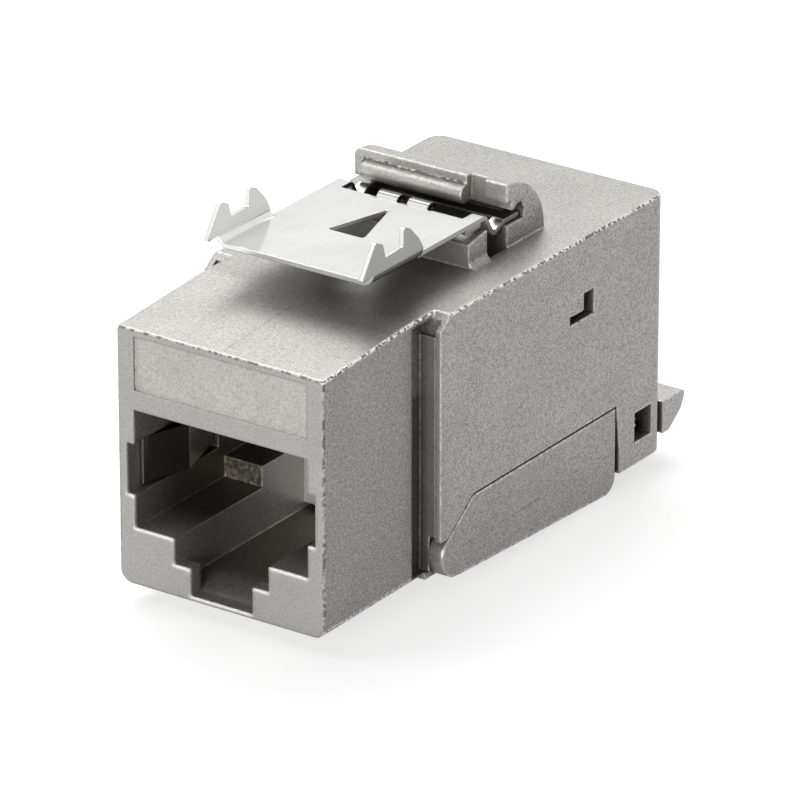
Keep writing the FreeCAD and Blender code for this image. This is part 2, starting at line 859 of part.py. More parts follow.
def make_clip():
    """The spring steel clip: flat plate with an arrow hole, two upright ears, tabs and tongues behind."""
    body = new_body("latch_clip")
    half = d.clip_width / 2
    low = d.clip_top - d.clip_sheet
    ear_face = half + d.ear_spread
    bend = ear_face - d.ear_bend
    inner = half - d.tab_width
    clip_plate(body, low, half, bend, inner)
    ear = outline(body, "ear_side", "YZ_Plane", ear_outline(), offset=ear_face - d.clip_sheet)
    ears = pad(body, "ear", ear, d.clip_sheet)
    rise = low + d.ear_bend
    curve = [
        (bend - 0.1, low),
        (ear_face, low, d.ear_bend - 0.01),
        (ear_face, rise + 0.1),
        (ear_face - d.clip_sheet, rise + 0.1),
        (ear_face - d.clip_sheet, d.clip_top, d.ear_bend - d.clip_sheet - 0.01),
        (bend - 0.1, d.clip_top),
    ]
    bends = pad(
        body, "bend", outline(body, "bend_face", "XZ_Plane", curve, offset=-d.clip_front),
        d.ear_length, flip=True,
    )
    hem_back = d.clip_side_back - 0.3
    hem = rectangle(hem_back - d.hem_length, hem_back, low - d.hem_drop, low + 0.1)
    hems = pad(
        body, "hem", outline(body, "hem_side", "YZ_Plane", hem, offset=half - d.clip_sheet), d.clip_sheet
    )
    middle = d.clip_top - d.clip_sheet / 2
    tab_level = d.slot_floor + d.tab_clearance + d.clip_sheet / 2
    start = d.clip_side_back - 0.4
    tab_path = new_sketch(body, "tab_path", "YZ_Plane", half - d.tab_width / 2)
    route = [
        (start, middle),
        (start + 0.6, middle, 0.3),
        (start + 1.45, middle - d.tab_dip, 0.35),
        (d.bar_front + 0.1, tab_level, 0.5),
        (d.bar_front + d.slot_depth - 0.25, tab_level),
    ]
    trace(tab_path, route, closed=False)
    tab_end = outline(
        body, "tab_section", "XZ_Plane", rectangle(inner, half, low, d.clip_top), offset=-start
    )
    tabs = sweep(body, "tab", tab_path, tab_end)
    first = d.tongue_gap / 2
    root = d.clip_back - 0.3
    tongue_path = new_sketch(body, "tongue_path", "YZ_Plane", first + d.tongue_width / 2)
    curl = [
        (root, middle),
        (root + 0.35, middle, 0.2),
        (root + 0.62, middle + d.tongue_rise, 0.2),
        (root + 0.95, middle + d.tongue_rise, 0.2),
        (root + 1.15, middle),
    ]
    trace(tongue_path, curl, closed=False)
    tongue_end = outline(
        body, "tongue_section", "XZ_Plane", rectangle(first, first + d.tongue_width, low, d.clip_top),
        offset=-root,
    )
    tongues = sweep(body, "tongue", tongue_path, tongue_end)
    mirror(body, "clip_sides", [ears, bends, hems, tabs, tongues])


def make_flap():
    """The U-shaped flap that closes the underside: two arms, a sloping plate and two pegs."""
    body = new_body("flap")
    low, head = flap_shoulder(0)
    side = [
        (d.flap_pivot_back, d.flap_pivot_up),
        (d.flap_pivot_back, eye_floor),
        (d.flap_pivot_back + 1.2, flap_floor(d.flap_pivot_back + 1.2)),
        (d.flap_back, flap_floor(d.flap_back), d.flap_heel),
        (d.flap_back, d.flap_pivot_up),
        (d.flap_back - d.flap_rear_slant, d.flap_seam),
        head,
        low,
    ]
    pad(body, "arms", outline(body, "flap_side", "YZ_Plane", side), d.body_width, both=True)
    fillet(
        body, "belly", d.flap_round,
        lambda box, edge: box.ZMax < 0.5 and box.XLength < 1e-3 and box.YLength > 5,
    )
    eye = new_sketch(body, "eye_side", "YZ_Plane")
    circle(eye, (d.flap_pivot_back, d.flap_pivot_up), d.flap_eye)
    pad(body, "eyes", eye, d.body_width, both=True)
    reach = d.flap_eye + 1
    inside = [
        (d.flap_pivot_back - reach, flap_floor(d.flap_back) - 1),
        (d.flap_plate_front, flap_floor(d.flap_back) - 1),
        (d.flap_plate_front, flap_floor(d.flap_plate_front) + d.flap_plate),
        (d.flap_back + 1, flap_floor(d.flap_back + 1) + d.flap_plate),
        (d.flap_back + 1, d.flap_seam + 1),
        (d.flap_pivot_back - reach, d.flap_seam + 1),
    ]
    pocket(body, "inside", outline(body, "inside_side", "YZ_Plane", inside), 2 * arm_inside, both=True)
    peg = new_sketch(body, "peg_side", "YZ_Plane", arm_inside - d.peg_length)
    circle(peg, (d.flap_pivot_back, d.flap_pivot_up), d.peg_radius)
    pegs = pad(body, "peg", peg, d.peg_length + 0.2)
    mirror(body, "peg_pair", [pegs])


def make_carrier():
    """The plastic carrier over the port: eight grooves for the springs' legs and a comb for their tips."""
    body = new_body("jack_insert")
    gap = d.carrier_clearance
    side = [
        (d.nose_chamber_front + gap, d.port_top + gap),
        (d.comb_front, d.port_top + gap),
        (d.comb_front, d.comb_floor),
        (d.comb_back, d.comb_floor),
        (d.comb_back, d.nose_chamber_top - gap),
        (d.nose_chamber_front + gap, d.nose_chamber_top - gap),
    ]
    pad(body, "block", outline(body, "block_side", "YZ_Plane", side), d.port_width - 2 * gap, both=True)
    trim = rectangle(d.comb_width / 2, d.port_width / 2 + 1, d.comb_floor - 1, d.port_top + gap)
    flank = pocket(
        body, "flank", outline(body, "flank_face", "XZ_Plane", trim, offset=-(d.comb_front - 1)),
        d.comb_back - d.comb_front + 2,
    )
    mirror(body, "flanks", [flank])
    half = d.carrier_groove / 2
    top = contact_leg + d.contact_size / 2 + gap
    grooves = []
    slots = []
    for index in range(CONTACTS):
        place = contact_place(index)
        grooves.append(rectangle(place - half, place + half, d.port_top - 1, top))
        slots.append(rectangle(place - half, place + half, d.comb_floor - 1, top - 0.1))
    start = d.contact_front - d.contact_size
    pocket(
        body, "leg_grooves", outline(body, "leg_faces", "XZ_Plane", *grooves, offset=-start),
        d.comb_back - start + 1,
    )
    reach = d.contact_tip_back - d.comb_front + 0.6
    pocket(
        body, "comb_slots", outline(body, "comb_faces", "XZ_Plane", *slots, offset=-(d.comb_front - 0.5)),
        reach + 0.5,
    )


def make_contacts():
    """Eight gilt spring wires: pin in the board, leg along the carrier, fold in front, arm in the port."""
    half = d.contact_size / 2
    for index in range(CONTACTS):
        body = new_body(f"contact_{index + 1}")
        place = contact_place(index)
        pin = d.contact_pin_back + (index % 2) * d.contact_pin_row
        top = board_top + d.pin_stand
        route = [
            (pin, top),
            (pin, contact_leg, 0.4),
            (d.contact_front, contact_leg, 0.45),
            (d.contact_front, contact_leg - d.contact_fold, 0.45),
            (d.contact_tip_back, d.contact_tip_up),
        ]
        path = new_sketch(body, "wire_path", "YZ_Plane", place)
        trace(path, route, closed=False)
        section = outline(
            body, "wire_section", "XY_Plane",
            rectangle(place - half, place + half, pin - half, pin + half), offset=top,
        )
        sweep(body, "wire", path, section)


def make_shield_springs():
    """A bowed strip of sheet in each side notch, which touches the plug's shield."""
    outer = d.notch_width / 2 - 0.05
    inner = outer - d.spring_sheet
    crest = d.port_width / 2 - d.spring_bulge
    first = d.front_plate + 0.25
    last = d.notch_depth - 0.15
    lower = d.notch_floor + 0.2
    height = d.notch_top - d.notch_floor - 0.4
    for name, side in (("left_shield_spring", -1), ("right_shield_spring", 1)):
        body = new_body(name)
        bow = [
            (side * outer, first),
            (side * outer, first + 0.5),
            (side * (crest + d.spring_sheet), d.spring_crest, 0.5),
            (side * outer, last - 0.5),
            (side * outer, last),
            (side * inner, last),
            (side * inner, last - 0.5),
            (side * crest, d.spring_crest, 0.3),
            (side * inner, first + 0.5),
            (side * inner, first),
        ]
        pad(body, "strip", outline(body, "strip_plan", "XY_Plane", bow, offset=lower), height)


def make_board():
    """The circuit board, with a hole for each contact pin and blade pin."""
    body = new_body("circuit_board")
    half = d.board_width / 2
    sketch = outline(
        body, "board_plan", "XY_Plane", rectangle(-half, half, d.board_front, d.board_back),
        offset=d.board_floor,
    )
    for index in range(CONTACTS):
        pin = d.contact_pin_back + (index % 2) * d.contact_pin_row
        circle(sketch, (contact_place(index), pin), d.pin_hole)
    for index in range(BLADES):
        circle(sketch, blade_spot(index), d.pin_hole)
    pad(body, "board", sketch, d.board_thickness)


def make_block():
    """The termination block under the board: blade slots, a wire trough and snap lugs in the windows."""
    body = new_body("idc_block")
    half = d.block_width / 2
    reach = chamber_width / 2 - d.lug_clearance
    trough = d.trough_width / 2
    roof = d.board_floor - d.block_roof
    face = [
        (-half, d.block_floor),
        (-trough, d.block_floor),
        (-trough, roof),
        (trough, roof),
        (trough, d.block_floor),
        (half, d.block_floor),
        (half, d.board_floor),
        (-half, d.board_floor),
    ]
    length = d.block_back - d.block_front
    pad(
        body, "block", outline(body, "block_face", "XZ_Plane", face, offset=-d.block_front), length,
        flip=True,
    )
    lug = [
        (half, d.board_floor),
        (half, d.upper_window_floor + d.lug_rise),
        (reach, d.board_floor - d.lug_edge),
        (reach, d.board_floor),
    ]
    front = d.upper_window_front + 0.1
    lugs = pad(
        body, "lug", outline(body, "lug_face", "XZ_Plane", lug, offset=-front),
        (d.upper_window_back - d.upper_window_front) / 2, flip=True,
    )
    mirror(body, "lugs", [lugs])
    thick = d.blade_sheet / 2 + d.blade_clearance
    wide = d.blade_width / 2 + d.blade_clearance
    slots = []
    for index in range(BLADES):
        across, back = blade_spot(index)
        slots.append(rectangle(across - thick, across + thick, back - wide, back + wide))
    pocket(
        body, "blade_slots", outline(body, "slot_plan", "XY_Plane", *slots, offset=d.board_floor + 1),
        d.board_floor - d.block_floor + 2,
    )


def make_blades():
    """Eight forked insulation-displacement blades, each with a pin in the board."""
    half = d.blade_width / 2
    slit = d.blade_slit / 2
    pin = d.blade_pin / 2
    tip_outside = d.blade_tip + d.blade_taper
    tip_inside = d.blade_tip + d.blade_lead
    slit_end = d.block_floor + d.blade_root
    shoulder = d.board_floor - 0.1
    for index in range(BLADES):
        body = new_body(f"idc_blade_{index + 1}")
        across, back = blade_spot(index)
        shape = [
            (back - half, tip_outside),
            (back - half + d.blade_point, d.blade_tip),
            (back - slit, tip_inside),
            (back - slit, slit_end),
            (back + slit, slit_end),
            (back + slit, tip_inside),
            (back + half - d.blade_point, d.blade_tip),
            (back + half, tip_outside),
            (back + half, shoulder),
            (back + pin, shoulder),
            (back + pin, board_top + d.pin_stand),
            (back - pin, board_top + d.pin_stand),
            (back - pin, shoulder),
            (back - half, shoulder),
        ]
        sketch = outline(body, "blade_side", "YZ_Plane", shape, offset=across)
        pad(body, "blade", sketch, d.blade_sheet, both=True)


def make_manager():
    """The wire manager pressed up by the flap: a trough for the pairs, wire slots and blade slots."""
    body = new_body("wire_manager")
    gap = d.manager_clearance
    front = d.manager_front
    back = d.manager_back
    rise = d.flap_plate + d.flap_gap
    top = d.block_floor - gap
    side = [
        (front, flap_floor(front) + rise),
        (back, flap_floor(back) + rise),
        (back, top),
        (front, top),
    ]
    pad(body, "block", outline(body, "manager_side", "YZ_Plane", side), d.manager_width, both=True)
    half = d.trough_width / 2
    floor = top - d.trough_depth
    bend = d.trough_round
    trough = [(-half, top + 1), (-half, floor, bend), (half, floor, bend), (half, top + 1)]
    start = front + d.manager_wall
    pocket(
        body, "trough", outline(body, "trough_face", "XZ_Plane", trough, offset=-1 * start),
        back - front,
    )
    wires = []
    for index in range(BLADES // 2):
        middle = blade_spot(index)[1]
        wires.append(
            rectangle(middle - d.wire_slot / 2, middle + d.wire_slot / 2, top - d.wire_slot_depth, top + 1)
        )
    pocket(
        body, "wire_slots", outline(body, "wire_sides", "YZ_Plane", *wires), d.manager_width + 1, both=True
    )
    thick = d.blade_sheet / 2 + d.blade_clearance
    wide = d.blade_width / 2 + d.blade_clearance
    slots = []
    for index in range(BLADES):
        across, place = blade_spot(index)
        slots.append(rectangle(across - thick, across + thick, place - wide, place + wide))
    pocket(
        body, "blade_slots", outline(body, "slot_plan", "XY_Plane", *slots, offset=top + 1),
        top + 1 - d.blade_tip + 0.3,
    )


def make_shelf():
    """The cable shelf: a wide lip behind the jack on a stem that is snapped into the rear wall."""
    body = new_body("cable_shelf")
    start = d.body_length + d.shelf_gap
    low = d.rear_floor
    lip = [
        (start, low),
        (start + d.shelf_toe, low),
        (d.shelf_back - d.shelf_chin, d.shelf_top - d.shelf_chin_drop, 0.8),
        (d.shelf_back, d.shelf_top - 0.3, 0.15),
        (d.shelf_back - 0.1, d.shelf_top, 0.1),
        (start, d.shelf_top),
    ]
    width = d.body_width - 2 * d.shelf_inset
    pad(body, "lip", outline(body, "lip_side", "YZ_Plane", lip), width, both=True)
    stem = rectangle(d.shelf_front, start + 0.5, low, d.shelf_top)
    pad(body, "stem", outline(body, "stem_side", "YZ_Plane", stem), d.shelf_stem, both=True)
    reach = chamber_width - 2 * d.shelf_gap
    lug_back = d.shelf_lug_place + d.shelf_lug
    lugs = rectangle(d.shelf_lug_place, lug_back, low + 1.2, d.shelf_top + 0.3)
    pad(body, "lugs", outline(body, "lug_side", "YZ_Plane", lugs), reach, both=True)


def check_and_write():
    doc.recompute()
    for item in doc.Objects:
        if "Invalid" in item.State or "Error" in item.State:
            raise ValueError(f"{item.Label} failed: {item.State}")
    os.makedirs("parts", exist_ok=True)
    for body in parts:
        shape = body.Shape
        if shape.isNull() or not shape.isValid() or len(shape.Solids) != 1:
            raise ValueError(f"{body.Label} is not one valid solid")
        shape.exportStep(f"parts/{body.Label}.step")
        print(body.Label, round(shape.Volume, 3))


make_sheet()
make_housing()
make_clip()
make_flap()
make_carrier()
make_contacts()
make_shield_springs()
make_board()
make_block()
make_blades()
make_manager()
make_shelf()
check_and_write()
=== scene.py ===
import bpy
import json
import math
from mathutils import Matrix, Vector


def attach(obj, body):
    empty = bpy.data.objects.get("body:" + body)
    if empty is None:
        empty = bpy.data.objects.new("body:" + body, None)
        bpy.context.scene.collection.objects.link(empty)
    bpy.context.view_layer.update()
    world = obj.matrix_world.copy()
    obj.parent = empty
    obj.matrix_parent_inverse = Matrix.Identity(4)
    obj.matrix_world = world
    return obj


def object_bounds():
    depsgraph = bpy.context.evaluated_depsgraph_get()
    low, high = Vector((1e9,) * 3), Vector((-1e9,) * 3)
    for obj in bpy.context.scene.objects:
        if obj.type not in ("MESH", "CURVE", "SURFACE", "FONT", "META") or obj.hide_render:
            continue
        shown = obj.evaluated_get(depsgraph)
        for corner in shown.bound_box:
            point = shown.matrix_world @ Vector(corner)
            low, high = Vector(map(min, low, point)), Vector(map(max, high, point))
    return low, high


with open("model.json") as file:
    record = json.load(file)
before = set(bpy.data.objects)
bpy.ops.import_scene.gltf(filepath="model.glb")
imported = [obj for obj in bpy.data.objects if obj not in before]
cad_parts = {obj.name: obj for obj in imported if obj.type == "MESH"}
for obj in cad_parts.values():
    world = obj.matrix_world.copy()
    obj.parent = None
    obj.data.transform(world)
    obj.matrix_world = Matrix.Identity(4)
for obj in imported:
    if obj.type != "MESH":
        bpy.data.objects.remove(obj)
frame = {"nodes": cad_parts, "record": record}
cad_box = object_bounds()
MM = 0.001

# the view, in degrees and millimetres
PART_MIDDLE = (0, 17, 8.5)
VIEW_AZIMUTH = 34.592
VIEW_ELEVATION = 23.716
VIEW_DISTANCE = 440.084
VIEW_SHIFT_RIGHT = 0.595
VIEW_SHIFT_UP = -1.293
LENS = 337.5
SENSOR = 36

# the stage and its lamps: place, size and watts
FLOOR_REACH = 1200
FLOOR_TONE = (0.55, 0.55, 0.55)
FLOOR_GLOW = 0.7
ROOM_LIGHT = 0.08
LAMP_AIM = (0, 17, 8)
LAMPS = {
    "top_box": ((-150, 170, 370), 280, 1.4),
    "front_box": ((80, -430, 75), 220, 1.6),
    "key_box": ((-208, -135, 300), 150, 0.25),
}

# places on the part that its marks, wear, painted light and painted shade follow, in millimetres
NOSE_HALF = 7
NOSE_BACK = 9
FRONT_TOP = 15.85
ROOF = 15.9
PARTING_BACK = 6.8
PORT_TOP = 11
PORT_HALF = 6.5
PORT_BACK = 13.5
CHANNEL_HALF = 4.5
PLUG_STOP = 11
LEDGES_LOW = 2.4
LEDGES_HIGH = 8
TORN_FRONT = 8
TORN_BACK = 9.5
TORN_TOP = 5.6
BAR_FOOT = 16.8
BEAD_TOP = 19.9
BEAD_ALONG = 21.2
BEAD_MIDDLE = -1.15
BEAD_HALF = 3.6
TONGUE_ROOT = 17.95
TONGUES_HALF = 2
TONGUES_LOW = 17
FLAP_SEAM = 1.6
SNAP_FACE = 8.27
SNAP_DEPTH = 0.85
BURR_DEPTH = 0.16
UPPER_WINDOW_FRONT = 23.56
LOWER_WINDOW_FRONT = 30.62
EDGE_ROUND = 0.2
PORT_EXTRA_ROUND = 0.2

# the colour of worn edges, of painted highlights and of the channel's painted light
BRIGHT_ZINC = (0.86, 0.85, 0.82)
# the colour of the painted shade in recesses and in the port
PAINTED_SHADE_INSIDE = (0.21, 0.183, 0.135)


class Shader:
    """A node material built up from short calls. Places are the object's own, in metres."""

    def __init__(self, name):
        self.material = bpy.data.materials.new(name)
        self.material.use_nodes = True
        self.tree = self.material.node_tree
        self.surface = self.tree.nodes["Principled BSDF"]
        coordinates = self.node("ShaderNodeTexCoord")
        self.place = coordinates.outputs["Object"]
        self.facing = coordinates.outputs["Normal"]

    def node(self, kind, **settings):
        made = self.tree.nodes.new(kind)
        for name, value in settings.items():
            setattr(made, name, value)
        return made

    def feed(self, socket, value):
        if isinstance(value, bpy.types.NodeSocket):
            self.tree.links.new(value, socket)
        else:
            socket.default_value = value

    def set(self, **values):
        for name, value in values.items():
            self.feed(self.surface.inputs[name.replace("_", " ")], value)

    def noise(self, scale, detail=2.0, stretch=(1, 1, 1)):
        spread = self.node("ShaderNodeMapping")
        self.feed(spread.inputs["Vector"], self.place)
        spread.inputs["Scale"].default_value = stretch
        made = self.node("ShaderNodeTexNoise")
        self.feed(made.inputs["Vector"], spread.outputs["Vector"])
        made.inputs["Scale"].default_value = scale
        made.inputs["Detail"].default_value = detail
        return made.outputs["Fac"]

    def map(self, value, low, high, out_low=0.0, out_high=1.0):
        made = self.node("ShaderNodeMapRange", clamp=True)
        for name, item in (("Value", value), ("From Min", low), ("From Max", high),
                           ("To Min", out_low), ("To Max", out_high)):
            self.feed(made.inputs[name], item)
        return made.outputs["Result"]

    def rise(self, value, low, high):
        """0 below the first place and 1 beyond the second, both in millimetres."""
        return self.map(value, low * MM, high * MM)

    def fall(self, value, low, high):
        """1 below the first place and 0 beyond the second, both in millimetres."""
        return self.map(value, low * MM, high * MM, 1.0, 0.0)

    def math(self, kind, first, second=0.5):
        made = self.node("ShaderNodeMath", operation=kind)
        self.feed(made.inputs[0], first)
        self.feed(made.inputs[1], second)
        return made.outputs["Value"]

    def size(self, value):
        return self.math("ABSOLUTE", value)

    def away(self, value, centre):
        """How far a place lies from a centre in millimetres."""
        return self.size(self.math("SUBTRACT", value, centre * MM))

    def times(self, first, *others):
        for other in others:
            first = self.math("MULTIPLY", first, other)
        return first

    def less(self, value):
        return self.math("SUBTRACT", 1.0, value)

    def most(self, first, second):
        return self.math("MAXIMUM", first, second)

    def mix(self, share, first, second, blend="MIX"):
        made = self.node("ShaderNodeMix", data_type="RGBA", blend_type=blend)
        self.feed(made.inputs["Factor"], share)
        self.feed(made.inputs[6], first)
        self.feed(made.inputs[7], second)
        return made.outputs[2]

    def tint(self, colour, tone):
        return self.mix(1.0, colour, tone, "MULTIPLY")

    def grey(self, value):
        made = self.node("ShaderNodeCombineColor")
        for channel in made.inputs:
            self.feed(channel, value)
        return made.outputs["Color"]

    def rounded(self, radius):
        """Normals that turn softly over the edges, and a mask that is 1 along those edges."""
        bevel = self.node("ShaderNodeBevel", samples=6)
        self.feed(bevel.inputs["Radius"], radius)
        flat = self.node("ShaderNodeNewGeometry").outputs["Normal"]
        match = self.node("ShaderNodeVectorMath", operation="DOT_PRODUCT")
        self.feed(match.inputs[0], bevel.outputs["Normal"])
        self.feed(match.inputs[1], flat)
        return bevel.outputs["Normal"], self.map(match.outputs["Value"], 0.995, 0.9)

    def axes(self, vector):
        """The three parts of a vector: across, along and up."""
        made = self.node("ShaderNodeSeparateXYZ")
        self.feed(made.inputs["Vector"], vector)
        return made.outputs["X"], made.outputs["Y"], made.outputs["Z"]

    def openness(self, reach):
        """1 on open surfaces, falling to 0 deep inside recesses of about that size."""
        made = self.node("ShaderNodeAmbientOcclusion", samples=6)
        made.inputs["Distance"].default_value = reach
        return made.outputs["AO"]

    def bump(self, height, strength, distance, normal=None):
        made = self.node("ShaderNodeBump")
        made.inputs["Strength"].default_value = strength
        made.inputs["Distance"].default_value = distance
        self.feed(made.inputs["Height"], height)
        if normal is not None:
            self.feed(made.inputs["Normal"], normal)
        return made.outputs["Normal"]


def between(s, first, second, low=0.2):
    """1 where a surface is turned halfway between two directions, such as on a rounded edge."""
    both = s.math("MINIMUM", s.size(first), s.size(second))
    return s.map(both, low, low + 0.2)


def ridge_mask(s, normal):
    """1 on the rounded ridges that run along the part between its top and its sides."""
    across, _, up = s.axes(normal)
    outer = s.rise(s.size(s.axes(s.place)[0]), NOSE_HALF - 0.2, NOSE_HALF)
    return s.times(between(s, across, up), outer)


def lip_highlight_mask(s, normal, port):
    """1 on the port's front edges that look upward, where a highlight is painted."""
    _, along, up = s.axes(normal)
    return s.times(s.map(up, 0.1, 0.3), between(s, along, up, 0.1), port)


def rim_mask(s, normal, front):
    """1 on the front's upper and upright outer edges."""
    across, along, up = s.axes(normal)
    place = s.axes(s.place)
    wide = s.rise(s.size(place[0]), NOSE_HALF - 0.1, NOSE_HALF)
    high = s.rise(place[2], FRONT_TOP - 0.1, FRONT_TOP)
    upright = s.times(wide, between(s, across, along))
    upper = s.times(high, between(s, along, up))
    return s.times(front, s.most(upright, upper))


def channel_painted_light_mask(s):
    """1 on the walls of the plug's channel that the plug slides along and stops against, which get
    painted light.
    """
    across, along, up = s.axes(s.place)
    to_side, to_back, _ = s.axes(s.facing)
    near = s.fall(s.size(across), CHANNEL_HALF, CHANNEL_HALF + 0.2)
    inner = s.times(s.fall(up, PORT_TOP, PORT_TOP + 1), near)
    wall = s.times(s.map(to_side, 0.3, 0.7), s.map(along, 2 * MM, 10 * MM, 0.35, 0.8))
    stop = s.times(s.map(to_back, -0.9, -0.7, 1.0, 0.0), s.rise(along, PLUG_STOP, PLUG_STOP + 1))
    return s.times(inner, s.most(wall, stop))


def port_shade_depth(s):
    """How much painted shade the port gets: it grows from 0 at the port's mouth to 0.85 a few
    millimetres inside it.
    """
    across, along, up = s.axes(s.place)
    narrow = s.fall(s.size(across), PORT_HALF, PORT_HALF + 0.3)
    room = s.times(narrow, s.fall(up, PORT_TOP + 0.3, PORT_TOP + 0.6))
    above = s.times(s.rise(up, 0.3, 0.5), s.fall(along, PORT_BACK, PORT_BACK + 0.5))
    return s.times(room, above, s.map(along, 0.4 * MM, 4 * MM, 0.0, 0.85))


def front_mask(s):
    """1 on surfaces that face the front."""
    return s.map(s.axes(s.facing)[1], -0.95, -0.8, 1.0, 0.0)


def seam_shade(s, height):
    """A faint dark line along the casting at that height, where the mould closed."""
    patchy = s.map(s.noise(900, 3.0), 0.4, 0.6, 0.7, 1.0)
    return s.map(s.away(s.axes(s.place)[2], height), 0.03 * MM, 0.1 * MM, patchy, 1.0)


def torn_shade(s):
    """The rough, torn face of the port's stop."""
    _, along, up = s.axes(s.place)
    behind = s.rise(along, TORN_FRONT, TORN_FRONT + 0.3)
    near = s.times(behind, s.fall(along, TORN_BACK, TORN_BACK + 0.5))
    torn = s.times(front_mask(s), near, s.fall(up, TORN_TOP, TORN_TOP + 0.4))
    rough = s.map(s.noise(3500, 3.0), 0.4, 0.6, -0.4, 2.2)
    return s.math("ADD", 1.0, s.times(torn, rough))


def ledge_painted_shade(s):
    """The upward faces of the port's two ledges, darkened as painted shade."""
    up = s.axes(s.place)[2]
    above = s.rise(up, LEDGES_LOW, LEDGES_LOW + 0.2)
    height = s.times(above, s.fall(up, LEDGES_HIGH, LEDGES_HIGH + 1))
    return s.less(s.times(height, s.map(s.axes(s.facing)[2], 0.6, 0.9, 0.0, 0.7)))


def bar_painted_light(s):
    """The bar over the clip and its bead are painted a shade paler above the bar's foot: painted
    light.
    """
    return s.map(s.axes(s.place)[2], BAR_FOOT * MM, (BAR_FOOT + 0.8) * MM, 1.0, 1.15)


def bead_crease_painted_shade(s):
    """A ragged dark line of painted shade in the crease where the bead along the bar's front runs
    into the bar.
    """
    across, along, up = s.axes(s.place)
    ragged = s.map(s.noise(2200, 2.0), 0.3, 0.7, -0.09 * MM, 0.09 * MM)
    line = s.fall(s.away(s.math("ADD", up, ragged), BEAD_TOP), 0.08, 0.15)
    near = s.fall(s.away(along, BEAD_ALONG), 0.3, 0.4)
    reach = s.fall(s.away(across, BEAD_MIDDLE), BEAD_HALF, BEAD_HALF + 0.1)
    return s.map(s.times(line, near, reach), 0.0, 1.0, 1.0, 0.3)


def pad_painted_light(s):
    """The sunk label pad on the front, painted a little paler than the rest: painted light."""
    _, along, up = s.axes(s.place)
    sunk = s.times(s.rise(along, 0.03, 0.05), s.fall(along, 0.6, 0.8), front_mask(s))
    paler = s.map(up, PORT_TOP * MM, (PORT_TOP + 1) * MM, 0.0, 0.18)
    return s.math("ADD", 1.0, s.times(sunk, paler))


def nose_side_painted_shade(s):
    """The sides of the nose are painted darker than those of the box behind it: painted shade."""
    nose = s.fall(s.axes(s.place)[1], NOSE_BACK, NOSE_BACK + 2)
    return s.less(s.times(nose, s.map(s.size(s.axes(s.facing)[0]), 0.6, 0.9, 0.0, 0.2)))


def calm_share(s):
    """How much of the grain shows: least on the front, some on top, all of it on the sides."""
    _, along, up = s.axes(s.facing)
    return s.times(s.map(s.size(along), 0.6, 0.9, 1.0, 0.4), s.map(up, 0.6, 0.9, 1.0, 0.65))


def parting_mask(s):
    """The fine parting line on the roof's middle, in front of the clip."""
    across, along, up = s.axes(s.place)
    in_front = s.fall(along, PARTING_BACK, PARTING_BACK + 0.8)
    line = s.times(s.fall(s.size(across), 0.03, 0.06), in_front)
    patchy = s.map(s.noise(1500, 2.0), 0.4, 0.6, 0.2, 1.0)
    return s.times(line, s.rise(up, ROOF, ROOF + 0.1), patchy)


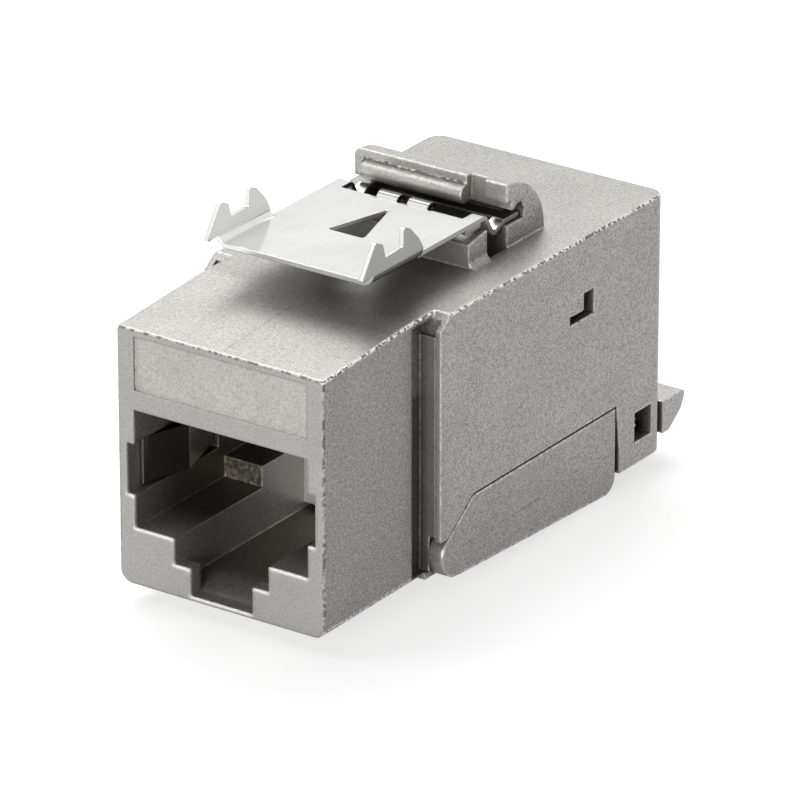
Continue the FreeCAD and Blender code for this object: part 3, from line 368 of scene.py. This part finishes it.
def cast_metal(name, tone, edge_tone, soft=EDGE_ROUND, least_wear_and_highlight=0.2, seam=None):
    """Satin plated zinc: fine cast grain, cloudy tone, painted glints on the ridges and edges, and
    painted brown shade in recesses.
    """
    s = Shader(name)
    fine = s.noise(9500, 1.0)
    pits = s.noise(4400, 2.0)
    cloud = s.noise(260, 3.0)
    speckle = s.map(fine, 0.3, 0.7, -0.38, 0.38)
    blotch = s.map(pits, 0.3, 0.7, -0.17, 0.17)
    calm = calm_share(s)
    spots = s.math("ADD", s.times(s.math("ADD", speckle, blotch), calm), 1.0)
    shade = s.times(spots, s.map(cloud, 0.3, 0.7, 0.95, 1.05))
    # painted shade on the nose's sides, and painted light on the label pad and on the bar
    shade = s.times(shade, nose_side_painted_shade(s), pad_painted_light(s), bar_painted_light(s))
    if seam is not None:
        shade = s.times(shade, seam_shade(s, seam))
    shade = s.times(shade, s.map(parting_mask(s), 0.0, 1.0, 1.0, 0.6))

    # edges are a little rounder at the port, and least bright at the front
    front = s.fall(s.axes(s.place)[1], 0.5, 1.4)
    port = s.times(front, s.fall(s.axes(s.place)[2], PORT_TOP - 0.4, PORT_TOP))
    radius = s.map(port, 0.0, 1.0, soft * MM, (soft + PORT_EXTRA_ROUND) * MM)
    normal, edge = s.rounded(radius)
    edge = s.times(edge, s.map(front, 0.0, 1.0, 1.0, 0.1))

    # broken lines of painted highlights and dark nicks along the ridges and the front's rim, worn
    # edges with a painted highlight, and painted highlights on the port's lips
    nicks_and_glints = s.noise(4200, 1.0)
    ridge = ridge_mask(s, normal)
    shade = s.times(shade, s.map(s.times(ridge, nicks_and_glints), 0.46, 0.54, 1.0, 0.42))
    chips = s.times(rim_mask(s, normal, front), s.noise(3000, 1.0))
    shade = s.times(shade, s.map(chips, 0.48, 0.56, 1.0, 0.35))
    wear_and_highlight = s.times(edge, s.map(s.noise(2600, 2.0), 0.42, 0.6, least_wear_and_highlight, 1.0))
    ridge_highlight = s.times(ridge, s.map(nicks_and_glints, 0.56, 0.46))
    bright = s.most(s.times(wear_and_highlight, 0.7), ridge_highlight)
    bright = s.most(bright, s.times(lip_highlight_mask(s, normal, port), 0.9))
    colour = s.mix(bright, s.tint((*tone, 1), s.grey(shade)), (*edge_tone, 1))

    # painted shade: recesses, the port and its ledges are darkened brown, except the channel's
    # walls and stop, which get painted light
    inside = s.tint(colour, (*PAINTED_SHADE_INSIDE, 1))
    inside = s.tint(inside, s.grey(s.times(ledge_painted_shade(s), torn_shade(s))))
    channel_light = channel_painted_light_mask(s)
    painted_shade_share = s.most(s.map(s.openness(7 * MM), 0.12, 0.45, 1.0, 0.0), port_shade_depth(s))
    painted_shade_share = s.times(painted_shade_share, s.less(channel_light))
    colour = s.mix(s.times(channel_light, 0.5), colour, (*edge_tone, 1))
    colour = s.mix(painted_shade_share, colour, inside)
    grit = s.times(s.math("ADD", fine, pits), calm)
    s.set(
        # painted shade in the crease above the bead
        Base_Color=s.tint(colour, s.grey(bead_crease_painted_shade(s))),
        Roughness=s.map(bright, 0.0, 1.0, 0.38, 0.3),
        Metallic=0.6,
        Normal=s.bump(grit, 0.6, 0.02 * MM, normal),
    )
    return s.material


def under_and_outer_painted_shade(s):
    """Bent sheet is painted darker on its under and outer sides: painted shade."""
    side = s.times(s.axes(s.place)[0], s.axes(s.facing)[0])
    outer = s.map(side, 2 * MM, 4 * MM, 1.0, 0.36)
    return s.times(outer, s.map(s.axes(s.facing)[2], -0.45, -0.05, 0.5, 1.0))


def tongue_painted_shade(s):
    """The clip's two tongues, behind the plate, are painted darker: painted shade."""
    across, along, up = s.axes(s.place)
    behind = s.rise(along, TONGUE_ROOT, TONGUE_ROOT + 0.2)
    behind = s.times(behind, s.fall(s.size(across), TONGUES_HALF, TONGUES_HALF + 0.2))
    curled = s.times(behind, s.rise(up, TONGUES_LOW, TONGUES_LOW + 0.2))
    return s.map(curled, 0.0, 1.0, 1.0, 0.25)


def sheet_metal(name, tone, roughness, stretch):
    """Rolled sheet or drawn wire with faint rolling lines and rounded, darker edges, and painted
    shade on its under and outer sides, on the clip's tongues and in recesses.
    """
    s = Shader(name)
    lines = s.noise(1500, 2.0, stretch)
    smear = s.noise(300, 2.0)
    normal, edge = s.rounded(0.07 * MM)
    shade = s.times(s.map(lines, 0.3, 0.7, 0.98, 1.02), s.map(smear, 0.3, 0.7, 0.97, 1.03))
    shade = s.times(shade, under_and_outer_painted_shade(s), tongue_painted_shade(s))
    # painted shade in recesses
    shade = s.times(shade, s.map(s.openness(3 * MM), 0.1, 0.6, 0.35, 1.0))
    s.set(
        Base_Color=s.mix(s.times(edge, 0.6), s.tint((*tone, 1), s.grey(shade)), s.grey(0.25)),
        Roughness=s.map(smear, 0.3, 0.7, roughness - 0.02, roughness + 0.02),
        Metallic=0.95,
        Normal=normal,
    )
    return s.material


def plastic(name, tone):
    """Moulded plastic with a faint spark-eroded grain."""
    s = Shader(name)
    grain = s.noise(5000, 2.0)
    cloud = s.noise(400, 2.0)
    normal, _ = s.rounded(0.08 * MM)
    shade = s.times(s.map(grain, 0.3, 0.7, 0.93, 1.07), s.map(cloud, 0.3, 0.7, 0.96, 1.04))
    s.set(
        Base_Color=s.tint((*tone, 1), s.grey(shade)),
        Roughness=s.map(grain, 0.3, 0.7, 0.4, 0.5),
        Normal=s.bump(grain, 0.25, 0.02 * MM, normal),
    )
    return s.material


def circuit_laminate():
    """Green solder mask over a faint pattern of copper tracks."""
    s = Shader("board")
    weave = s.noise(2500, 2.0)
    tracks = s.noise(700, 0.0, (1, 0.25, 1))
    copper = s.map(tracks, 0.5, 0.53)
    colour = s.mix(copper, (0.02, 0.12, 0.05, 1), (0.04, 0.2, 0.08, 1))
    s.set(
        Base_Color=s.mix(0.25, colour, s.grey(weave), "MULTIPLY"),
        Roughness=s.map(weave, 0.3, 0.7, 0.25, 0.38),
        Normal=s.bump(copper, 0.3, 0.02 * MM),
    )
    return s.material


MATERIALS = {
    "die_cast_zinc": cast_metal("zinc_casting", (0.365, 0.357, 0.337), BRIGHT_ZINC),
    "flap_zinc": cast_metal(
        "flap_casting", (0.335, 0.328, 0.31), BRIGHT_ZINC, soft=0.3, least_wear_and_highlight=0.45, seam=FLAP_SEAM
    ),
    "shelf_zinc": cast_metal("shelf_casting", (0.41, 0.401, 0.38), (0.8, 0.79, 0.76)),
    "spring_steel": sheet_metal("clip_steel", (0.78, 0.78, 0.762), 0.16, (1, 0.15, 1)),
    "shield_steel": sheet_metal("shield_strip", (0.2, 0.19, 0.17), 0.3, (1, 1, 0.2)),
    "black_plastic": plastic("carrier_plastic", (0.02, 0.02, 0.02)),
    "pale_plastic": plastic("block_plastic", (0.55, 0.54, 0.5)),
    "white_plastic": plastic("manager_plastic", (0.7, 0.7, 0.67)),
    "board_green": circuit_laminate(),
    "contact_gold": sheet_metal("gilt_wire", (0.8, 0.58, 0.22), 0.25, (1, 0.2, 1)),
    "blade_bronze": sheet_metal("tinned_bronze", (0.7, 0.66, 0.58), 0.3, (1, 1, 0.2)),
}
for subpart in frame["record"]["subparts"]:
    for slot in frame["nodes"][subpart["node"]].material_slots:
        slot.material = MATERIALS[subpart["material_slot"]]


def add_object(name, corners, faces, material):
    """A flat-shaded object with its corners in millimetres."""
    mesh = bpy.data.meshes.new(name)
    mesh.from_pydata([Vector(corner) * MM for corner in corners], [], faces)
    mesh.materials.append(material)
    mesh.shade_flat()
    made = bpy.data.objects.new(name, mesh)
    bpy.context.scene.collection.objects.link(made)
    return made


def mirrored_prisms(name, prisms, depth, slot):
    """Small prisms on both sides: each has its outer place and its (along, up) corners."""
    corners = []
    faces = []
    for side in (-1, 1):
        for outer, outline in prisms:
            start = len(corners)
            count = len(outline)
            corners += [(side * outer, along, up) for along, up in outline]
            corners += [(side * (outer - depth), along, up) for along, up in outline]
            front = [start + i for i in range(count)]
            back = [start + count + i for i in range(count)]
            shell = [front, back[::-1]]
            for i in range(count):
                j = (i + 1) % count
                shell.append([front[j], front[i], back[i], back[j]])
            faces += [face if side > 0 else face[::-1] for face in shell]
    piece = add_object(name, corners, faces, MATERIALS[slot])
    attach(piece, "body")


def make_snap_faces():
    """The snap lugs fill the upper front part of the upper windows, nearly flush with the side."""
    edge = UPPER_WINDOW_FRONT
    face = [
        (edge, 12.1), (edge + 0.24, 12.02), (edge + 1.34, 12.0),
        (edge + 1.48, 12.06), (edge + 1.5, 13.05), (edge, 13.08),
    ]
    mirrored_prisms("snap_lug_faces", [(SNAP_FACE, face)], SNAP_DEPTH, "die_cast_zinc")


def make_burrs():
    """Flecks of flash left on the front edge of the lower windows."""
    edge = LOWER_WINDOW_FRONT
    flecks = [
        (8.2, [(edge, 2.3), (edge + 0.38, 2.42), (edge + 0.3, 2.55), (edge, 2.6)]),
        (8.12, [
            (edge, 2.62), (edge + 0.24, 2.66), (edge + 0.5, 2.82),
            (edge + 0.18, 2.86), (edge, 2.95),
        ]),
        (8.22, [(edge, 2.98), (edge + 0.22, 3.0), (edge, 3.16)]),
        (8.16, [(edge, 1.86), (edge + 0.16, 1.9), (edge + 0.1, 2.04), (edge, 2.1)]),
    ]
    mirrored_prisms("casting_burrs", flecks, BURR_DEPTH, "die_cast_zinc")


def stage_material(name, colour):
    """Pale card, white to the camera and in reflections, that still takes the part's shadow."""
    s = Shader(name)
    s.set(Base_Color=(*colour, 1), Roughness=0.9)
    s.surface.inputs["Specular IOR Level"].default_value = 0.0
    light = s.node("ShaderNodeEmission")
    light.inputs["Strength"].default_value = FLOOR_GLOW
    both = s.node("ShaderNodeAddShader")
    s.feed(both.inputs[0], s.surface.outputs["BSDF"])
    s.feed(both.inputs[1], light.outputs["Emission"])
    path = s.node("ShaderNodeLightPath")
    seen = s.most(path.outputs["Is Camera Ray"], path.outputs["Is Glossy Ray"])
    seen = s.most(seen, path.outputs["Is Transmission Ray"])
    share = s.node("ShaderNodeMixShader")
    s.feed(share.inputs["Fac"], seen)
    s.feed(share.inputs[1], s.surface.outputs["BSDF"])
    s.feed(share.inputs[2], both.outputs["Shader"])
    s.feed(s.tree.nodes["Material Output"].inputs["Surface"], share.outputs["Shader"])
    return s.material


def make_floor():
    low = cad_box[0].z / MM
    wide = FLOOR_REACH
    corners = [(-wide, -wide, low), (wide, -wide, low), (wide, wide, low), (-wide, wide, low)]
    card = stage_material("floor_card", FLOOR_TONE)
    add_object("floor", corners, [(0, 1, 2, 3)], card)


def make_world():
    """Even soft light, with a white background for the camera, for metal and for clear parts."""
    world = bpy.data.worlds.new("studio")
    bpy.context.scene.world = world
    world.use_nodes = True
    tree = world.node_tree
    path = tree.nodes.new("ShaderNodeLightPath")
    level = tree.nodes.new("ShaderNodeMapRange")
    level.inputs["To Min"].default_value = ROOM_LIGHT
    level.inputs["To Max"].default_value = 1.0
    seen = path.outputs["Is Camera Ray"]
    for kind in ("Is Glossy Ray", "Is Transmission Ray"):
        either = tree.nodes.new("ShaderNodeMath")
        either.operation = "MAXIMUM"
        tree.links.new(seen, either.inputs[0])
        tree.links.new(path.outputs[kind], either.inputs[1])
        seen = either.outputs["Value"]
    tree.links.new(seen, level.inputs["Value"])
    tree.links.new(level.outputs["Result"], tree.nodes["Background"].inputs["Strength"])
    tree.nodes["Background"].inputs["Color"].default_value = (1, 1, 1, 1)


def make_lamp(name, place, size, watts):
    """A square soft box at that place, in millimetres, turned to the part's middle."""
    light = bpy.data.lights.new(name, "AREA")
    light.size = size * MM
    light.energy = watts
    lamp = bpy.data.objects.new(name, light)
    bpy.context.scene.collection.objects.link(lamp)
    lamp.location = Vector(place) * MM
    aim = Vector(LAMP_AIM) * MM - lamp.location
    lamp.rotation_euler = aim.to_track_quat("-Z", "Y").to_euler()


def make_camera():
    """A long lens at the view's azimuth and elevation around the part's middle."""
    azimuth = math.radians(VIEW_AZIMUTH)
    rise = math.radians(VIEW_ELEVATION)
    level = math.cos(rise)
    right = Vector((math.cos(azimuth), math.sin(azimuth), 0))
    back = Vector((math.sin(azimuth) * level, -math.cos(azimuth) * level, math.sin(rise)))
    up = back.cross(right)
    centre = Vector(PART_MIDDLE) + right * VIEW_SHIFT_RIGHT + up * VIEW_SHIFT_UP
    data = bpy.data.cameras.new("camera")
    data.lens = LENS
    data.sensor_width = SENSOR
    data.clip_start = 0.01
    camera = bpy.data.objects.new("camera", data)
    bpy.context.scene.collection.objects.link(camera)
    camera.location = (centre + back * VIEW_DISTANCE) * MM
    camera.rotation_euler = (-back).to_track_quat("-Z", "Y").to_euler()
    bpy.context.scene.camera = camera


make_snap_faces()
make_burrs()
make_floor()
make_world()
for lamp_name, (lamp_place, lamp_size, lamp_watts) in LAMPS.items():
    make_lamp(lamp_name, lamp_place, lamp_size, lamp_watts)
make_camera()
bpy.context.scene.view_settings.view_transform = "Standard"
